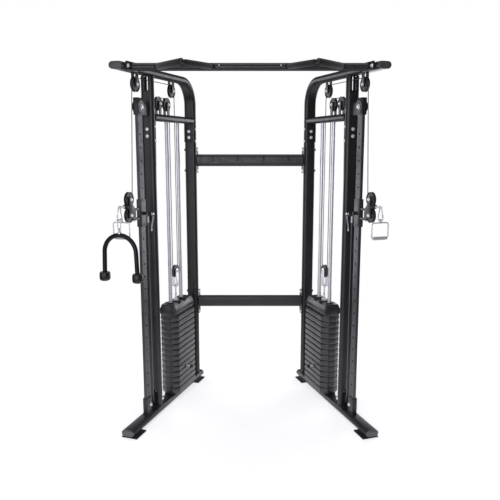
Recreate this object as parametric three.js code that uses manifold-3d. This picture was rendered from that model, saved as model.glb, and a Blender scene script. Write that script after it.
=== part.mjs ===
// Functional trainer: two mirrored weight-stack frames joined by a pull-up bar and two cross
// tubes. Each frame is drawn once, in its own axes (x forward, y inward, z up, origin on the
// floor under the front upright), then turned to its splay angle and mirrored for the other side.
// Millimetres. The machine's front faces -Y.
import * as THREE from "three";
import { mergeVertices } from "three/addons/utils/BufferGeometryUtils.js";
import ManifoldModule from "manifold-3d";

const wasm = await ManifoldModule();
wasm.setup();

// ---- driving dimensions ----
const SPLAY = THREE.MathUtils.degToRad(19); // each frame opens outward towards the front
const FRONT_UPRIGHT_X = 591; // front upright to the middle plane
const UPRIGHT_SPACING = 580; // front upright to rear upright, along the frame
const ORIGIN_SHIFT = new THREE.Vector3(37, -94, 0); // puts the origin under the box's middle
const TUBE = { wide: 80, thin: 40, wall: 3 }; // flat-sided oval tube of the whole frame
const ARCH_TOP = 2100;
const BEND_RADIUS = 150;
const ARCH_FRONT = 345;
const RAIL = { rear: -660, front: 360, bottom: 6, top: 46 };
const FOOT = { length: 114, outer: -40, inner: 62, thick: 7 };
const BRACE = { bottom: 1810, top: 1850 };
const GAP = 0.3; // between pieces that touch

const GUIDE = { x: 115, deep: 50, wide: 18, wall: 2.5, bottom: 52, top: 1925 };
const HOLES = { first: 230, pitch: 75, count: 21, radius: 6.5 };
const CARRIAGE_HEIGHT = 1280; // hole number 15
const SLEEVE = { x0: 85.5, x1: 144.5, halfWide: 15.5, bottom: 1203, top: 1362 };
const SOCKET_TOP = 150; // the guide tube's seat on the rail, just below the lowest carriage

const PULLEY = { radius: 42, pitch: 36, floor: 32.6, halfThick: 9, bore: 5.4 };
const AXLE = 5;
const CABLE_RADIUS = 2.5;
const CHEEK = { inner: 11, outer: 15 }; // pulley bracket plates, each side of the pulley

const STACK = { x: -305, front: -177, rear: -463, halfWide: 65, plates: 14, lifted: 10 };
STACK.pitch = 37.7;
const STACK_TOP = 577;
const STACK_BOTTOM = STACK_TOP - STACK.plates * STACK.pitch;
const ROD = { offset: 77, radius: 12.5 };
const STEM_RADIUS = 11;
const plateHole = (n) => STACK_TOP - (n - 0.24) * STACK.pitch; // low in each plate

// where each pulley's axle lies in the frame's own x and z, and which way the cable turns it
const AXLES = {
  base_pulley: { x: 0, z: 100, turn: -1 },
  brace_pulley_front: { x: -125, z: 1913, turn: 1 },
  brace_pulley_rear: { x: -233, z: 1913, turn: 1 },
  floating_pulley: { x: STACK.x, z: 854, turn: -1 },
  top_rear_pulley: { x: STACK.x, z: 2000, turn: -1 },
  top_front_pulley: { x: 141, z: 2000, turn: -1 },
  carriage_pulley_upper: { x: 250, z: 1371, turn: 1 },
};
const LOWER_AXLE = { x: 254, z: 1283 };
const ANCHOR = { x: 36, z: 1215 };
const SWIVEL_X = 200;
const STOP = { x: 293, z: 1335, radius: 13 };
const HOOK_X = 354; // where the attachments hang

// ---- finishes ----
const finish = (colour, roughness, metalness) =>
  new THREE.MeshStandardMaterial({ color: colour, roughness, metalness });
const FRAME_PAINT = finish(0x2b2b30, 0.5, 0.3);
const PLATE_PAINT = finish(0x222226, 0.6, 0.3);
const CHROME = finish(0xd8dade, 0.15, 1);
const NYLON = finish(0x151517, 0.5, 0);
const CABLE_SKIN = finish(0x8c9096, 0.4, 0.4);
const SILVER = finish(0xa8abb0, 0.35, 0.9);

// ---- solids ----
function toSolid(geometry) {
  const bare = geometry.clone();
  for (const name of ["normal", "uv"]) bare.deleteAttribute(name);
  const merged = mergeVertices(bare, 1e-3);
  const position = new Float32Array(merged.attributes.position.array);
  const index = new Uint32Array(merged.index.array);
  let volume = 0;
  const [a, b, c] = [new THREE.Vector3(), new THREE.Vector3(), new THREE.Vector3()];
  for (let i = 0; i < index.length; i += 3) {
    a.fromArray(position, index[i] * 3);
    b.fromArray(position, index[i + 1] * 3);
    c.fromArray(position, index[i + 2] * 3);
    volume += a.dot(b.cross(c));
  }
  if (volume < 0) {
    for (let i = 0; i < index.length; i += 3) {
      [index[i + 1], index[i + 2]] = [index[i + 2], index[i + 1]];
    }
  }
  return new wasm.Manifold(
    new wasm.Mesh({ numProp: 3, vertProperties: position, triVerts: index }),
  );
}

function toMesh(name, solid, material) {
  const { vertProperties, triVerts } = solid.getMesh();
  const geometry = new THREE.BufferGeometry();
  geometry.setAttribute("position", new THREE.BufferAttribute(vertProperties, 3));
  geometry.setIndex(new THREE.BufferAttribute(triVerts, 1));
  geometry.computeVertexNormals();
  const mesh = new THREE.Mesh(geometry, material);
  mesh.name = name;
  return mesh;
}

const join = (...solids) => solids.reduce((whole, next) => whole.add(next));
const cut = (solid, ...tools) => tools.reduce((left, tool) => left.subtract(tool), solid);

function block(x0, x1, y0, y1, z0, z1) {
  const geometry = new THREE.BoxGeometry(x1 - x0, y1 - y0, z1 - z0);
  return toSolid(geometry.translate((x0 + x1) / 2, (y0 + y1) / 2, (z0 + z1) / 2));
}

// a round bar between two points
function bar(from, to, radius, sides = 12) {
  const start = new THREE.Vector3(...from);
  const end = new THREE.Vector3(...to);
  const geometry = new THREE.CylinderGeometry(radius, radius, start.distanceTo(end), sides);
  const along = end.clone().sub(start).normalize();
  const turn = new THREE.Quaternion().setFromUnitVectors(new THREE.Vector3(0, 1, 0), along);
  const middle = start.add(end).multiplyScalar(0.5);
  return toSolid(geometry.applyQuaternion(turn).translate(middle.x, middle.y, middle.z));
}
const pinAcross = (x, z, y0, y1, radius, sides) => bar([x, y0, z], [x, y1, z], radius, sides);
const post = (x, z0, z1, radius, sides) => bar([x, 0, z0], [x, 0, z1], radius, sides);

// an outline in x and z, made solid from y0 to y1
function profileAcross(points, y0, y1) {
  const shape = new THREE.Shape(points.map(([x, z]) => new THREE.Vector2(x, z)));
  const geometry = new THREE.ExtrudeGeometry(shape, { depth: y1 - y0, bevelEnabled: false });
  return toSolid(geometry.rotateX(Math.PI / 2).translate(0, y1, 0));
}
// an outline in y and z, made solid from x0 to x1
const profileAlong = (points, x0, x1) =>
  profileAcross(points, -x1, -x0).rotate([0, 0, 90]);
// an outline in x and y, made solid from z0 to z1
function profileUp(points, z0, z1) {
  const shape = new THREE.Shape(points.map(([x, y]) => new THREE.Vector2(x, y)));
  const geometry = new THREE.ExtrudeGeometry(shape, { depth: z1 - z0, bevelEnabled: false });
  return toSolid(geometry.translate(0, 0, z0));
}

// a ring-shaped profile of [radius, height] points spun about the y axis through x, z
function spun(profile, x, z, sides) {
  const points = profile.map(([radius, height]) => new THREE.Vector2(radius, height));
  return toSolid(new THREE.LatheGeometry(points, sides).translate(x, 0, z));
}

const ovalSection = (wide, thin, steps = 5) => {
  const radius = thin / 2;
  const points = [];
  for (const side of [1, -1]) {
    for (let i = 0; i <= steps; i += 1) {
      const angle = side * (-Math.PI / 2) + (Math.PI * i * side) / steps;
      const flat = (side * (wide - thin)) / 2;
      points.push([flat + side * radius * Math.cos(angle), radius * Math.sin(angle)]);
    }
  }
  return points;
};
const roundSection = (radius, sides) =>
  Array.from({ length: sides }, (_, i) => {
    const angle = (2 * Math.PI * (i + 0.5)) / sides;
    return [radius * Math.cos(angle), radius * Math.sin(angle)];
  });

// a section of [across, outward] points carried along a path of [x, z] points
function sweep(section, path, closed = false) {
  const count = path.length;
  const direction = (i, j) => {
    const [dx, dz] = [path[j][0] - path[i][0], path[j][1] - path[i][1]];
    const length = Math.hypot(dx, dz);
    return [dx / length, dz / length];
  };
  const positions = [];
  for (let i = 0; i < count; i += 1) {
    const before = closed || i > 0 ? direction((i + count - 1) % count, i) : direction(0, 1);
    const after = closed || i < count - 1 ? direction(i, (i + 1) % count) : before;
    const normal = [-(before[1] + after[1]), before[0] + after[0]];
    const length = Math.hypot(...normal);
    const unit = [normal[0] / length, normal[1] / length];
    const stretch = 1 / (unit[0] * -before[1] + unit[1] * before[0]);
    for (const [across, out] of section) {
      const reach = out * stretch;
      positions.push(path[i][0] + unit[0] * reach, across, path[i][1] + unit[1] * reach);
    }
  }
  const index = [];
  const sides = section.length;
  const rings = closed ? count : count - 1;
  for (let i = 0; i < rings; i += 1) {
    for (let k = 0; k < sides; k += 1) {
      const [a, b] = [i * sides + k, i * sides + ((k + 1) % sides)];
      const next = ((i + 1) % count) * sides;
      const [c, d] = [next + k, next + ((k + 1) % sides)];
      index.push(a, b, d, a, d, c);
    }
  }
  if (!closed) {
    for (let k = 1; k < sides - 1; k += 1) {
      index.push(0, k + 1, k);
      const last = (count - 1) * sides;
      index.push(last, last + k, last + k + 1);
    }
  }
  const geometry = new THREE.BufferGeometry();
  geometry.setAttribute("position", new THREE.Float32BufferAttribute(positions, 3));
  geometry.setIndex(index);
  return toSolid(geometry);
}

function longer(path, extra) {
  const stretch = (from, to) => {
    const length = Math.hypot(to[0] - from[0], to[1] - from[1]);
    return [0, 1].map((k) => to[k] + ((to[k] - from[k]) * extra) / length);
  };
  const last = path.length - 1;
  return [stretch(path[1], path[0]), ...path.slice(1, last), stretch(path[last - 1], path[last])];
}

const hollowTube = (path) =>
  cut(
    sweep(ovalSection(TUBE.wide, TUBE.thin), path),
    sweep(ovalSection(TUBE.wide - 2 * TUBE.wall, TUBE.thin - 2 * TUBE.wall), longer(path, 20)),
  );
const endCap = (from, to, height) =>
  sweep(ovalSection(TUBE.wide - 1, TUBE.thin - 1), [[from, height], [to, height]]);

const arc = (x, z, radius, from, to, steps) =>
  Array.from({ length: steps + 1 }, (_, i) => {
    const angle = THREE.MathUtils.degToRad(from + ((to - from) * i) / steps);
    return [x + radius * Math.cos(angle), z + radius * Math.sin(angle)];
  });

// two plates and an axle that carry one pulley; low and high are the plates' ends
function pulleyBracket({ x, z }, low, high, halfWidth = 15) {
  const plates = [1, -1].map((side) =>
    block(
      x - halfWidth,
      x + halfWidth,
      Math.min(side * CHEEK.inner, side * CHEEK.outer),
      Math.max(side * CHEEK.inner, side * CHEEK.outer),
      low,
      high,
    ),
  );
  const axle = pinAcross(x, z, -CHEEK.outer - 1, CHEEK.outer + 1, AXLE);
  const heads = [1, -1].map((side) =>
    pinAcross(x, z, side * (CHEEK.outer - 0.5), side * (CHEEK.outer + 5), 8, 6),
  );
  return join(...plates, axle, ...heads);
}

const pulley = ({ x, z }) => {
  const { radius, floor, halfThick, bore } = PULLEY;
  const profile = [
    [bore, -halfThick],
    [16, -halfThick],
    [radius, -7.5],
    [floor, -3],
    [floor, 3],
    [radius, 7.5],
    [16, halfThick],
    [bore, halfThick],
    [bore, -halfThick],
  ];
  return spun(profile, x, z, 12);
};

// the cable's centre line: straight between wheels, bent round each one
function cablePath() {
  const start = { ...ANCHOR, radius: 0, turn: 1 };
  const finishPoint = { x: STOP.x - STOP.radius - GAP, z: STOP.z, radius: 0, turn: 1 };
  const wheels = Object.values(AXLES).map((wheel) => ({ ...wheel, radius: PULLEY.pitch }));
  const stops = [start, ...wheels, finishPoint];
  const headings = stops.slice(1).map((to, i) => {
    const from = stops[i];
    const [dx, dz] = [to.x - from.x, to.z - from.z];
    const offset = from.turn * from.radius - to.turn * to.radius;
    return Math.atan2(dz, dx) + Math.asin(offset / Math.hypot(dx, dz));
  });
  const points = [[start.x, start.z - GAP]];
  wheels.forEach((wheel, i) => {
    const enter = headings[i];
    let bend = headings[i + 1] - enter;
    while (bend * wheel.turn < 0) bend += wheel.turn * 2 * Math.PI;
    const steps = Math.max(2, Math.round(Math.abs(bend) / (Math.PI / 10)));
    for (let k = 0; k <= steps; k += 1) {
      const heading = enter + (bend * k) / steps;
      const reach = wheel.turn * wheel.radius;
      points.push([
        wheel.x + reach * Math.sin(heading),
        wheel.z - reach * Math.cos(heading),
      ]);
    }
  });
  points.push([finishPoint.x, finishPoint.z]);
  return points;
}

// ---- one side's pieces ----
function baseRail() {
  const middle = (RAIL.bottom + RAIL.top) / 2;
  const foot = (front) =>
    block(front - FOOT.length, front, FOOT.outer, FOOT.inner, 0, FOOT.thick);
  const socket = cut(
    block(SLEEVE.x0, SLEEVE.x1, -SLEEVE.halfWide, SLEEVE.halfWide, RAIL.top - 3, SOCKET_TOP),
    guidePocket(GUIDE.bottom, SOCKET_TOP + 9),
  );
  const gusset = profileAcross([[87, 44], [54, 44], [54, 58], [87, SOCKET_TOP - 4]], -7, 7);
  const bed = block(STACK.rear + 6, STACK.front - 6, -38, 38, RAIL.top - 8, STACK_BOTTOM - GAP);
  const rodSeats = [1, -1].map((side) =>
    post(STACK.x + side * ROD.offset, RAIL.top, 90, ROD.radius + 0.5, 16),
  );
  const vents = [0, -UPRIGHT_SPACING].map((x) => post(x, middle, RAIL.top + 5, 6, 8));
  return cut(
    join(
      hollowTube([[RAIL.rear + 4, middle], [RAIL.front - 4, middle]]),
      endCap(RAIL.rear, RAIL.rear + 8, middle),
      endCap(RAIL.front - 8, RAIL.front, middle),
      foot(RAIL.front),
      foot(RAIL.rear + 36 + FOOT.length),
      socket,
      gusset,
      bed,
    ),
    ...rodSeats,
    ...vents,
  );
}

const guidePocket = (low, high) =>
  block(
    GUIDE.x - GUIDE.deep / 2 - GAP,
    GUIDE.x + GUIDE.deep / 2 + GAP,
    -GUIDE.wide / 2 - GAP,
    GUIDE.wide / 2 + GAP,
    low,
    high,
  );

const baseFlange = (x) =>
  block(x - 50, x + 50, -41, 41, RAIL.top + GAP, RAIL.top + GAP + 6);

function frontUpright() {
  const column = cut(
    join(
      hollowTube([[0, RAIL.top + GAP], [0, ARCH_TOP - TUBE.thin - GAP]]),
      baseFlange(0),
    ),
    block(-40, 40, -13, 13, RAIL.top + 6.5, 145),
    bar([-40, 0, 145], [40, 0, 145], 13, 12),
    block(-30, 30, -13, 13, 1986, 2100),
    bar([-30, 0, 1986], [30, 0, 1986], 13, 12),
  );
  const { z } = AXLES.base_pulley;
  const discs = [1, -1].map((side) =>
    join(
      pinAcross(GUIDE.x - 3, 1880, side * 15, side * 20, 37, 20),
      pinAcross(GUIDE.x - 3, 1880, side * 19, side * 28, 10, 6),
    ),
  );
  const cap = cut(
    join(
      block(17, SLEEVE.x0 + 2, -15, 15, 1836, 1908),
      block(SLEEVE.x0, SLEEVE.x1, -SLEEVE.halfWide, SLEEVE.halfWide, 1836, GUIDE.top + 5),
      ...discs,
    ),
    guidePocket(1800, GUIDE.top),
  );
  return join(column, pinAcross(0, z, -39, 39, AXLE), cap);
}

function rearArch() {
  const centre = ARCH_TOP - TUBE.thin / 2;
  const bendX = -UPRIGHT_SPACING + BEND_RADIUS;
  const path = [
    [-UPRIGHT_SPACING, RAIL.top + GAP],
    ...arc(bendX, centre - BEND_RADIUS, BEND_RADIUS, 180, 90, 8),
    [ARCH_FRONT - 4, centre],
  ];
  const under = ARCH_TOP - TUBE.thin + 1;
  return join(
    hollowTube(path),
    endCap(ARCH_FRONT - 8, ARCH_FRONT, centre),
    cut(baseFlange(-UPRIGHT_SPACING), post(-UPRIGHT_SPACING, 0, 100, 6, 8)),
    pulleyBracket(AXLES.top_rear_pulley, 1986, under),
    pulleyBracket(AXLES.top_front_pulley, 1986, under),
  );
}

function midBrace() {
  const front = -TUBE.thin / 2 - GAP;
  const rear = -UPRIGHT_SPACING + TUBE.thin / 2 + GAP;
  const middle = (BRACE.bottom + BRACE.top) / 2;
  const endPlate = (x0, x1) => block(x0, x1, -34, 34, 1690, BRACE.top);
  const pitch = PULLEY.pitch;
  const slots = [
    AXLES.brace_pulley_front.x + pitch,
    AXLES.brace_pulley_rear.x - pitch,
    STACK.x - pitch,
  ].map((x) => block(x - 11, x + 11, -8, 8, BRACE.bottom - 5, BRACE.top + 1.5));
  const tube = cut(hollowTube([[front - 4, middle], [rear + 4, middle]]), ...slots);
  return join(
    tube,
    endPlate(front - 6, front),
    endPlate(rear, rear + 6),
    pulleyBracket(AXLES.brace_pulley_front, BRACE.top - 1, 1928),
    pulleyBracket(AXLES.brace_pulley_rear, BRACE.top - 1, 1928),
  );
}

function guideTube() {
  const { x, deep, wide, wall, bottom, top } = GUIDE;
  const outline = (inset) => {
    const [hx, hy, r] = [deep / 2 - inset, wide / 2 - inset, 3 - inset];
    const corners = [[1, 1, 0], [-1, 1, 90], [-1, -1, 180], [1, -1, 270]];
    return corners.flatMap(([sx, sy, angle]) =>
      arc(x + sx * (hx - r), sy * (hy - r), r, angle, angle + 90, 2),
    );
  };
  const holes = Array.from({ length: HOLES.count }, (_, i) =>
    pinAcross(x, HOLES.first + i * HOLES.pitch, 0, wide, HOLES.radius, 6),
  );
  return cut(
    profileUp(outline(0), bottom + GAP, top - GAP),
    profileUp(outline(wall), 0, 3000),
    ...holes,
  );
}

function carriage() {
  const { x0, x1, halfWide, bottom, top } = SLEEVE;
  const sleeve = cut(
    join(
      block(x0, x1, -halfWide, halfWide, bottom, top),
      pinAcross(GUIDE.x, CARRIAGE_HEIGHT, halfWide - 1, 38, 9.5),
      block(ANCHOR.x - 9, x0 + 2, -10, 10, 1255, 1267),
      post(ANCHOR.x, ANCHOR.z, 1256, 5, 8),
    ),
    block(x0 + 3.5, x1 - 3.5, -9.8, 9.8, 0, 3000),
    pinAcross(GUIDE.x, CARRIAGE_HEIGHT, 0, 60, 4.6),
  );
  const ear = (z0, z1) =>
    join(block(x1 - 2, SWIVEL_X, -10, 10, z0, z1), post(SWIVEL_X, z0, z1, 10, 12));
  return join(sleeve, ear(1303, 1315), ear(1249, 1261), post(SWIVEL_X, 1244, 1320, AXLE, 12));
}

function pullPin() {
  const lanyard = sweep(roundSection(1.6, 6), [[74, -4], [75, -30], [66, -56], [64, -88]]);
  const drop = bar([63.5, 0, -82], [63.5, 0, -100], 4, 8);
  return join(
    pinAcross(0, 0, GUIDE.wide / 2 + GAP, 46, 3.6, 8),
    pinAcross(0, 0, 44, 66, 10.5, 14),
    pinAcross(0, 0, 65, 80, 6.5, 10),
    join(lanyard, drop).rotate([0, 0, 90]),
  ).translate([GUIDE.x, 0, CARRIAGE_HEIGHT]);
}

function pulleyBlock() {
  const upper = AXLES.carriage_pulley_upper;
  const outline = [
    [211, 1250], [211, 1262], [203, 1263], [203, 1301], [211, 1302], [211, 1318],
    [235, 1345], [235, 1382], [242, 1388], [258, 1388], [265, 1382], [265, 1352],
    [270, 1300], [270, 1272], [262, 1266], [240, 1264],
  ];
  const cheek = (y0, y1) => profileAcross(outline, y0, y1);
  const axle = ({ x, z }) =>
    join(
      pinAcross(x, z, -CHEEK.outer, CHEEK.outer, AXLE),
      pinAcross(x, z, CHEEK.outer - 0.5, CHEEK.outer + 5, 8, 6),
      pinAcross(x, z, -CHEEK.outer + 0.5, -CHEEK.outer - 5, 8, 6),
    );
  const knuckle = post(SWIVEL_X, 1261 + GAP, 1303 - GAP, 8.5, 12);
  return cut(
    join(
      cheek(CHEEK.inner, CHEEK.outer),
      cheek(-CHEEK.outer, -CHEEK.inner),
      block(203, 208.5, -CHEEK.outer, CHEEK.outer, 1261 + GAP, 1303 - GAP),
      knuckle,
      axle(upper),
      axle(LOWER_AXLE),
    ),
    post(SWIVEL_X, 1200, 1400, AXLE + GAP, 12),
    block(180, 214, -11, 11, 1303 - GAP, 1330),
    block(180, 214, -11, 11, 1240, 1261 + GAP),
  );
}

const guideRod = (side) =>
  post(STACK.x + side * ROD.offset, RAIL.top + GAP, BRACE.bottom - GAP, ROD.radius, 16);

function stackBores(low, high) {
  return [
    post(STACK.x, low, high, STEM_RADIUS + 2, 12),
    ...[1, -1].map((side) =>
      post(STACK.x + side * ROD.offset, low, high, ROD.radius + 1.2, 12),
    ),
  ];
}

function plates(first, last) {
  const { x, front, rear, halfWide, pitch } = STACK;
  const high = STACK_TOP - (first - 1) * pitch - (first > 1 ? GAP / 2 : 0);
  const low = STACK_TOP - last * pitch + GAP / 2;
  const edge = [[halfWide - 2, low]];
  for (let n = last; n >= first; n -= 1) {
    const base = Math.max(low, STACK_TOP - n * pitch);
    const crown = Math.min(high, STACK_TOP - (n - 1) * pitch);
    edge.push([halfWide, base + 2], [halfWide, crown - 2], [halfWide - 2, crown]);
  }
  const outline = [...edge, ...edge.map(([y, z]) => [-y, z]).reverse()];
  const shoulder = [[rear, halfWide - 9], [rear + 9, halfWide + 1]];
  const nose = [[front - 30, halfWide + 1], [front, halfWide - 41]];
  const half = [...shoulder, ...nose];
  const plan = [...half, ...half.map(([u, y]) => [u, -y]).reverse()];
  const holes = [];
  for (let n = first; n <= last; n += 1) {
    holes.push(pinAcross(x, plateHole(n), 0, 80, 5.2, 6));
  }
  const stack = profileAlong(outline, rear, front);
  return cut(stack.intersect(profileUp(plan, 0, 1000)), ...stackBores(0, 1000), ...holes);
}

function stackHead() {
  const { x, front, rear } = STACK;
  const half = [[46, GAP], [46, 21], [60, 25], [60, 39], [38, 80]];
  const outline = [...half, ...half.map(([y, z]) => [-y, z]).reverse()];
  const casting = profileAlong(
    outline.map(([y, z]) => [y, STACK_TOP + z]),
    rear + 2,
    front - 2,
  );
  const bores = [1, -1].map((side) =>
    post(x + side * ROD.offset, 500, 700, ROD.radius + 0.6, 16),
  );
  return cut(casting, ...bores, post(x, 500, 700, STEM_RADIUS + GAP, 12));
}

function selectorStem() {
  const axle = AXLES.floating_pulley;
  const { x } = STACK;
  const holes = Array.from({ length: STACK.plates }, (_, i) =>
    pinAcross(x, plateHole(i + 1), -20, 20, 5, 6),
  );
  return join(
    cut(post(x, STACK_BOTTOM + 4, 664, STEM_RADIUS, 12), ...holes),
    post(x, 663, 760, 6, 10),
    block(x - 17, x + 17, -CHEEK.outer, CHEEK.outer, 754, 764),
    pulleyBracket(axle, 756, 872, 17),
  );
}

function selectorPin() {
  const along = (y0, y1, ...size) => pinAcross(STACK.x, plateHole(STACK.lifted), y0, y1, ...size);
  const face = STACK.halfWide + GAP;
  return join(along(-9, 98, 4), along(face, face + 5, 8.5, 12), along(96, 118, 11, 14));
}

function cableStop() {
  const ball = toSolid(
    new THREE.SphereGeometry(STOP.radius, 10, 6).rotateZ(Math.PI / 2).translate(STOP.x, 0, STOP.z),
  );
  const ferrule = bar([STOP.x + 10, 0, STOP.z], [338, 0, STOP.z], 5, 8);
  const eye = toSolid(new THREE.TorusGeometry(9, 2.5, 6, 10).translate(HOOK_X - 9, 0, STOP.z));
  return join(ball, ferrule, eye);
}

const CLIP_BOTTOM = 1266;
const RING_SEAT = 6.9; // wire centre to wire centre, where one ring rests in another
function carabiner() {
  const path = [
    ...arc(0, 1332, 9, 10, 170, 6),
    ...arc(-18.5, CLIP_BOTTOM + 7, 7, 190, 270, 3),
    ...arc(18.5, CLIP_BOTTOM + 7, 7, 270, 350, 3),
  ];
  return sweep(roundSection(3, 6), path, true).translate([HOOK_X, 0, 0]);
}

// a ring standing in the y-z plane that hangs on the clip's lower bar
const ringOnClip = (x, top, radius) =>
  toSolid(new THREE.TorusGeometry(radius, 3, 6, 10).rotateX(Math.PI / 2).rotateZ(Math.PI / 2))
    .translate([x, 0, top - radius]);

function stirrup(x) {
  const [halfWide, top, bottom, corner] = [50, 1252.5, 1168, 14];
  const path = [
    ...arc(halfWide - corner, top - corner, corner, 0, 90, 3),
    ...arc(corner - halfWide, top - corner, corner, 90, 180, 3),
    ...arc(corner - halfWide, bottom + corner, corner, 180, 270, 3),
    ...arc(halfWide - corner, bottom + corner, corner, 270, 360, 3),
  ];
  const wire = sweep(roundSection(3.5, 6), path, true);
  const grip = bar([-36, 0, bottom], [36, 0, bottom], 9.5, 12);
  const ends = bar([-46, 0, bottom], [46, 0, bottom], 7, 12);
  return join(
    join(wire, grip, ends).rotate([0, 0, 90]).translate([x, 0, 0]),
    ringOnClip(x, CLIP_BOTTOM + RING_SEAT, 8),
  );
}

const LINK = { x: HOOK_X + 7, top: CLIP_BOTTOM + RING_SEAT, bottom: 1216 };
function link() {
  const path = [
    ...arc(0, LINK.top - 9, 9, 0, 180, 4),
    ...arc(0, LINK.bottom + 9, 9, 180, 360, 4),
  ];
  return sweep(roundSection(3, 6), path, true).rotate([0, 0, 90]).translate([LINK.x, 0, 0]);
}

function bentHandle() {
  const [spread, crown] = [98, 1186];
  const path = [
    [spread + 4.5, 950],
    ...arc(0, crown - spread, spread, 0, 180, 10),
    [-spread - 4.5, 950],
  ];
  const knob = (y) =>
    spun([[0, 925], [20, 928], [30, 950], [30, 970], [24, 978], [0, 978]], 0, 0, 12)
      .rotate([90, 0, 0])
      .translate([y, 0, 0]);
  const eyeCentre = LINK.bottom + RING_SEAT - 8;
  const eye = toSolid(new THREE.TorusGeometry(8, 3, 6, 10).rotateX(Math.PI / 2)).translate([
    LINK.x, 0, eyeCentre,
  ]);
  return join(
    join(sweep(roundSection(12.5, 8), path), knob(spread + 4.5), knob(-spread - 4.5))
      .rotate([0, 0, 90])
      .translate([LINK.x, 0, 0]),
    post(LINK.x, 1192, 1206, 9, 10),
    eye,
  );
}

function sidePieces(stirrupX) {
  const pieces = {
    base_rail: [baseRail(), FRAME_PAINT],
    front_upright: [frontUpright(), FRAME_PAINT],
    rear_arch: [rearArch(), FRAME_PAINT],
    mid_brace: [midBrace(), FRAME_PAINT],
    guide_tube: [guideTube(), FRAME_PAINT],
    carriage: [carriage(), FRAME_PAINT],
    pull_pin: [pullPin(), NYLON],
    pulley_block: [pulleyBlock(), FRAME_PAINT],
    carriage_pulley_lower: [pulley(LOWER_AXLE), NYLON],
    guide_rod_front: [guideRod(1), CHROME],
    guide_rod_rear: [guideRod(-1), CHROME],
    stack_head: [stackHead(), PLATE_PAINT],
    lifted_plates: [plates(1, STACK.lifted), PLATE_PAINT],
    resting_plates: [plates(STACK.lifted + 1, STACK.plates), PLATE_PAINT],
    selector_stem: [selectorStem(), SILVER],
    selector_pin: [selectorPin(), NYLON],
    cable: [sweep(roundSection(CABLE_RADIUS, 6), cablePath()), CABLE_SKIN],
    cable_stop: [cableStop(), NYLON],
    carabiner: [carabiner(), CHROME],
    stirrup_handle: [stirrup(stirrupX), CHROME],
  };
  for (const [name, axle] of Object.entries(AXLES)) pieces[name] = [pulley(axle), NYLON];
  return pieces;
}

function addPieces(group, prefix, pieces) {
  for (const [name, [solid, material]] of Object.entries(pieces)) {
    group.add(toMesh(prefix + name, solid, material));
  }
}

// ---- pieces that join the two frames, drawn in the machine's own axes ----
const leftFrame = new THREE.Matrix4()
  .makeRotationZ(-Math.PI / 2 - SPLAY)
  .setPosition(-FRONT_UPRIGHT_X, 0, 0);
const onBothFrames = (solid) => {
  const placed = solid.transform(leftFrame.elements);
  return join(placed, placed.mirror([1, 0, 0]));
};
const framePoint = (x, y, z) => new THREE.Vector3(x, y, z).applyMatrix4(leftFrame);
const INNER_FACE = TUBE.wide / 2 + GAP;

function crossTube(height, hooks) {
  const y = framePoint(-UPRIGHT_SPACING, 0, 0).y;
  const rear = -UPRIGHT_SPACING;
  const oval = (inset) =>
    profileAlong(
      ovalSection(TUBE.wide - 2 * inset, TUBE.thin - 2 * inset).map(([a, b]) => [y + b, height + a]),
      -450,
      450,
    );
  const beyond = onBothFrames(block(rear - 300, rear + 300, -300, INNER_FACE + 3, 0, 3000));
  const flange = onBothFrames(
    cut(
      block(rear - 22, rear + 22, INNER_FACE, INNER_FACE + 6, height - 86, height + 86),
      pinAcross(rear, height, 0, 80, 8, 8),
    ),
  );
  const face = y - TUBE.thin / 2;
  const hookProfile = [
    [face + 1, 32], [face - 4, 32], [face - 4, 1], [face - 20, 1], [face - 20, 17],
    [face - 24, 17], [face - 24, -5], [face + 1, -5],
  ].map(([a, b]) => [a, height + b]);
  const hookSolids = hooks.map((x) => profileAlong(hookProfile, x - 7, x + 7));
  return join(cut(oval(0), oval(TUBE.wall), beyond), flange, ...hookSolids);
}

function pullUpBar() {
  const [y, z, radius] = [-232, ARCH_TOP - TUBE.thin / 2, 21];
  const along = (end, size, sides) => bar([-end, y, z], [end, y, z], size, sides);
  const plateX = [183, 307];
  const bores = [200, 229, 290]; // two bolts, and the bar's own open end between them
  const beyond = onBothFrames(block(0, 500, -400, INNER_FACE + 3, 1900, 2300));
  const plate = onBothFrames(
    cut(
      block(...plateX, INNER_FACE, INNER_FACE + 6, 2056, 2104),
      ...bores.map((x) => pinAcross(x, z, 0, 80, 8, 8)),
    ),
  );
  const grips = [];
  for (const side of [1, -1]) {
    const apex = [side * 346, y - 200, z];
    for (const [base, foamRadius, foamEnd] of [[508, 18.5, 1.02], [187, 16, 0.9]]) {
      const root = [side * base, y, z];
      const at = (t) => root.map((value, k) => value + (apex[k] - value) * t);
      grips.push(bar(root, apex, 13, 8), bar(at(0.13), at(foamEnd), foamRadius, 8));
    }
    grips.push(toSolid(new THREE.SphereGeometry(14.5, 8, 4).translate(...apex)));
  }
  const tube = join(cut(along(700, radius, 16), beyond), ...grips);
  return join(cut(tube, along(630, radius - 2.5, 16)), plate);
}

// ---- the machine ----
const machine = new THREE.Group();
machine.name = "functional_trainer";

const left = new THREE.Group();
addPieces(left, "left_", sidePieces(HOOK_X - 16));
addPieces(left, "left_", { link: [link(), CHROME], bent_handle: [bentHandle(), NYLON] });
left.applyMatrix4(leftFrame);

const right = new THREE.Group();
addPieces(right, "right_", sidePieces(HOOK_X));
right.applyMatrix4(leftFrame.clone().premultiply(new THREE.Matrix4().makeScale(-1, 1, 1)));

addPieces(machine, "", {
  upper_cross_tube: [crossTube(1568, [-253, -88, 88, 253]), FRAME_PAINT],
  lower_cross_tube: [crossTube(584, []), FRAME_PAINT],
  pull_up_bar: [pullUpBar(), FRAME_PAINT],
});
machine.add(left, right);
machine.position.copy(ORIGIN_SHIFT);

export default machine;
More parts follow.
